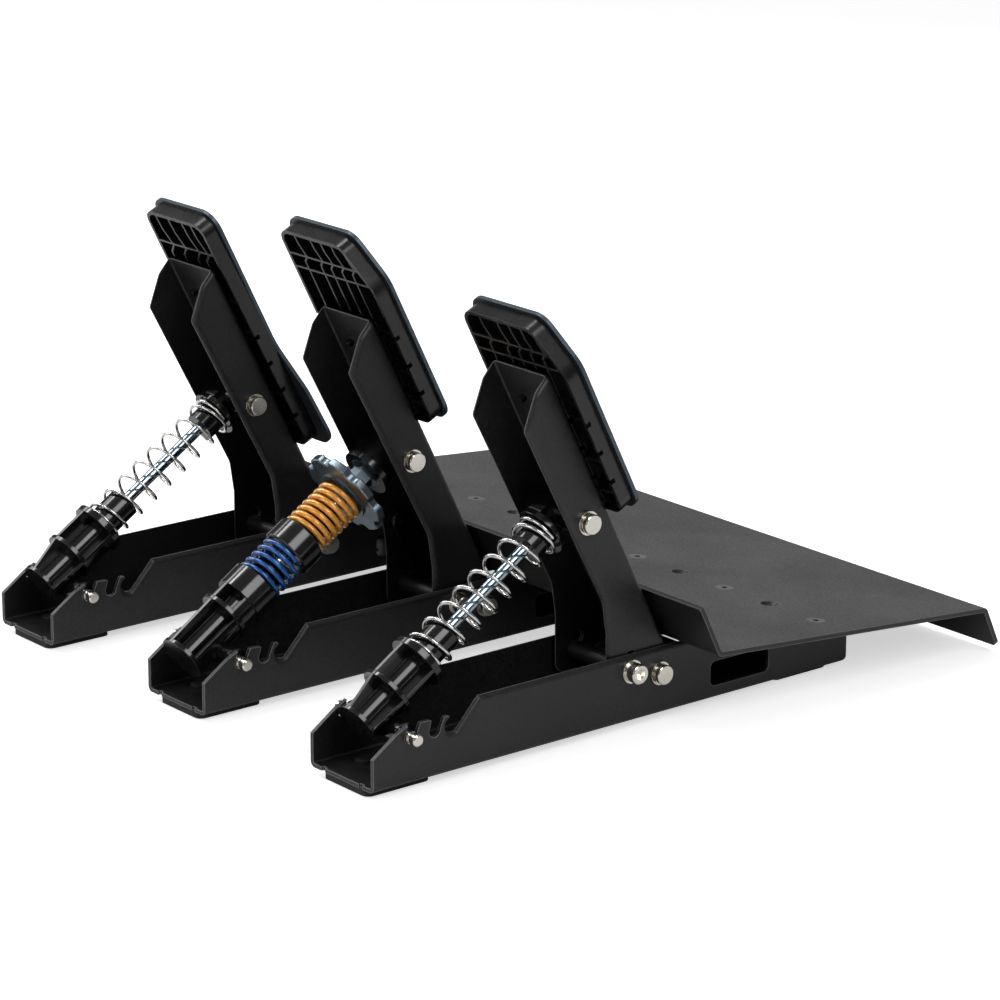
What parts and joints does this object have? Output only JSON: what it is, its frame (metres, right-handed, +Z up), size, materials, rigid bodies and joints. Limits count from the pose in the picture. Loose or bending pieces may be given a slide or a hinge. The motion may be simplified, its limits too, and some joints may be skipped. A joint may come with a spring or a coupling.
{
  "type": "sim racing pedal set",
  "caption": "Free-standing throttle, brake and clutch pedals on sheet-steel base channels joined by a heel plate; each arm pivots against its spring strut.",
  "frame": {"origin": "on the floor under the middle of the whole set", "axes": "+X across the set from the clutch to the throttle, +Y forward, away from the driver, +Z up; the driver sits towards -Y"},
  "size_m": [0.384, 0.3836, 0.2319],
  "materials": {
    "black_powder_coat": "satin fine-textured powder coat",
    "dark_face_metal": "dark coat with a worn bright edge",
    "gloss_black_plastic": "moulded, glossy",
    "black_rubber": "matte moulded",
    "bright_nickel": "bright nickel plate",
    "zinc_steel": "bluish zinc plate",
    "black_oxide": "black oxide",
    "spring_chrome": "polished",
    "blue_enamel": "glossy enamel",
    "orange_enamel": "glossy enamel",
    "bush_polymer": "plain bearing polymer",
    "sleeve_polymer": "firm bumper tube",
    "magnet_ferrite": "moulded magnet holder",
    "board_green": "solder mask"
  },
  "bodies": {
    "base": {"heel_plate": "black_powder_coat", "heel_plate_screws": "black_oxide", "throttle_channel": "black_powder_coat", "brake_channel": "black_powder_coat", "clutch_channel": "black_powder_coat", "throttle_feet": "black_rubber", "brake_feet": "black_rubber", "clutch_feet": "black_rubber", "pivot_pins": "bright_nickel", "pivot_clips": "zinc_steel", "channel_washers": "bright_nickel", "stop_bolts": "bright_nickel", "stop_nuts": "zinc_steel", "stop_sleeves": "sleeve_polymer", "anchor_pins": "bright_nickel", "control_box_shell": "gloss_black_plastic", "control_box_lid": "gloss_black_plastic", "control_board": "board_green", "data_socket": "gloss_black_plastic", "throttle_sensor": "gloss_black_plastic", "clutch_sensor": "gloss_black_plastic"},
    "throttle_pedal": {"throttle_arm": "black_powder_coat", "throttle_face_tray": "gloss_black_plastic", "throttle_face_plate": "dark_face_metal", "throttle_face_screws": "black_oxide", "throttle_pivot_bushes": "bush_polymer", "throttle_knuckle_pin": "bright_nickel", "throttle_magnet": "magnet_ferrite"},
    "throttle_lower_strut": {"throttle_strut_housing": "gloss_black_plastic", "throttle_spring": "spring_chrome"},
    "throttle_upper_strut": {"throttle_strut_rod": "zinc_steel", "throttle_spring_cap": "gloss_black_plastic"},
    "brake_pedal": {"brake_arm": "black_powder_coat", "brake_face_tray": "gloss_black_plastic", "brake_face_plate": "dark_face_metal", "brake_face_screws": "black_oxide", "brake_pivot_bushes": "bush_polymer", "brake_knuckle_pin": "bright_nickel", "brake_sensor_cover": "gloss_black_plastic", "brake_sensor_cover_screws": "black_oxide"},
    "brake_lower_strut": {"brake_strut_housing": "gloss_black_plastic", "brake_blue_spring": "blue_enamel"},
    "brake_cup": {"brake_middle_cup": "gloss_black_plastic", "brake_orange_spring": "orange_enamel"},
    "brake_upper_strut": {"brake_rod": "zinc_steel", "brake_load_cell": "zinc_steel", "brake_load_cell_can": "gloss_black_plastic"},
    "brake_nut": {"brake_preload_nut": "zinc_steel"},
    "clutch_pedal": {"clutch_arm": "black_powder_coat", "clutch_face_tray": "gloss_black_plastic", "clutch_face_plate": "dark_face_metal", "clutch_face_screws": "black_oxide", "clutch_pivot_bushes": "bush_polymer", "clutch_knuckle_pin": "bright_nickel", "clutch_magnet": "magnet_ferrite"},
    "clutch_lower_strut": {"clutch_strut_housing": "gloss_black_plastic", "clutch_spring": "spring_chrome"},
    "clutch_upper_strut": {"clutch_strut_rod": "zinc_steel", "clutch_spring_cap": "gloss_black_plastic"}
  },
  "joints": [
    {"name": "throttle_press", "type": "hinge", "parent": "base", "child": "throttle_pedal", "pos_m": [0.136, 0.01492, 0.0255], "axis": [-1, 0, 0], "range_deg": [0, 15], "stiffness_Nm_per_rad": 12, "springref_deg": -5.73, "deforming": ["throttle_spring"]},
    {"name": "throttle_lower_strut_tilt", "type": "hinge", "parent": "base", "child": "throttle_lower_strut", "pos_m": [0.136, 0.16852, 0.0273], "axis": [-1, 0, 0], "range_deg": [-0.16, 0]},
    {"name": "throttle_upper_strut_swing", "type": "hinge", "parent": "throttle_pedal", "child": "throttle_upper_strut", "pos_m": [0.136, 0.0589, 0.10961], "axis": [-1, 0, 0], "range_deg": [-15.16, 0]},
    {"name": "brake_press", "type": "hinge", "parent": "base", "child": "brake_pedal", "pos_m": [0, 0.01492, 0.0255], "axis": [-1, 0, 0], "range_deg": [0, 6], "stiffness_Nm_per_rad": 150, "springref_deg": -1.15, "deforming": ["brake_blue_spring", "brake_orange_spring"]},
    {"name": "brake_lower_strut_tilt", "type": "hinge", "parent": "base", "child": "brake_lower_strut", "pos_m": [0, 0.16852, 0.0273], "axis": [-1, 0, 0], "range_deg": [0, 0.24]},
    {"name": "brake_upper_strut_swing", "type": "hinge", "parent": "brake_pedal", "child": "brake_upper_strut", "pos_m": [0, 0.0589, 0.10961], "axis": [-1, 0, 0], "range_deg": [-5.77, 0]},
    {"name": "clutch_press", "type": "hinge", "parent": "base", "child": "clutch_pedal", "pos_m": [-0.136, 0.01492, 0.0255], "axis": [-1, 0, 0], "range_deg": [0, 18], "stiffness_Nm_per_rad": 20, "springref_deg": -5.73, "deforming": ["clutch_spring"]},
    {"name": "clutch_lower_strut_tilt", "type": "hinge", "parent": "base", "child": "clutch_lower_strut", "pos_m": [-0.136, 0.16852, 0.0273], "axis": [-1, 0, 0], "range_deg": [-0.53, 0]},
    {"name": "clutch_upper_strut_swing", "type": "hinge", "parent": "clutch_pedal", "child": "clutch_upper_strut", "pos_m": [-0.136, 0.0589, 0.10961], "axis": [-1, 0, 0], "range_deg": [-18.53, 0]},
    {"name": "brake_cup_slide", "type": "slide", "parent": "brake_lower_strut", "child": "brake_cup", "axis": [0, 0.8378, -0.546], "range_m": [0, 0.0044]},
    {"name": "brake_preload", "type": "hinge", "parent": "brake_upper_strut", "child": "brake_nut", "pos_m": [0, 0.0589, 0.10961], "axis": [0, -0.8378, 0.546], "continuous": true}
  ],
  "couplings": [
    {"joint": "throttle_lower_strut_tilt", "follows": "throttle_press", "ratio": -0.0103},
    {"joint": "throttle_upper_strut_swing", "follows": "throttle_press", "ratio": -1.0103},
    {"joint": "brake_lower_strut_tilt", "follows": "brake_press", "ratio": 0.0386},
    {"joint": "brake_upper_strut_swing", "follows": "brake_press", "ratio": -0.9614},
    {"joint": "clutch_lower_strut_tilt", "follows": "clutch_press", "ratio": -0.0289},
    {"joint": "clutch_upper_strut_swing", "follows": "clutch_press", "ratio": -1.0289},
    {"joint": "brake_cup_slide", "follows": "brake_press", "m_per_rad": 0.042}
  ]
}
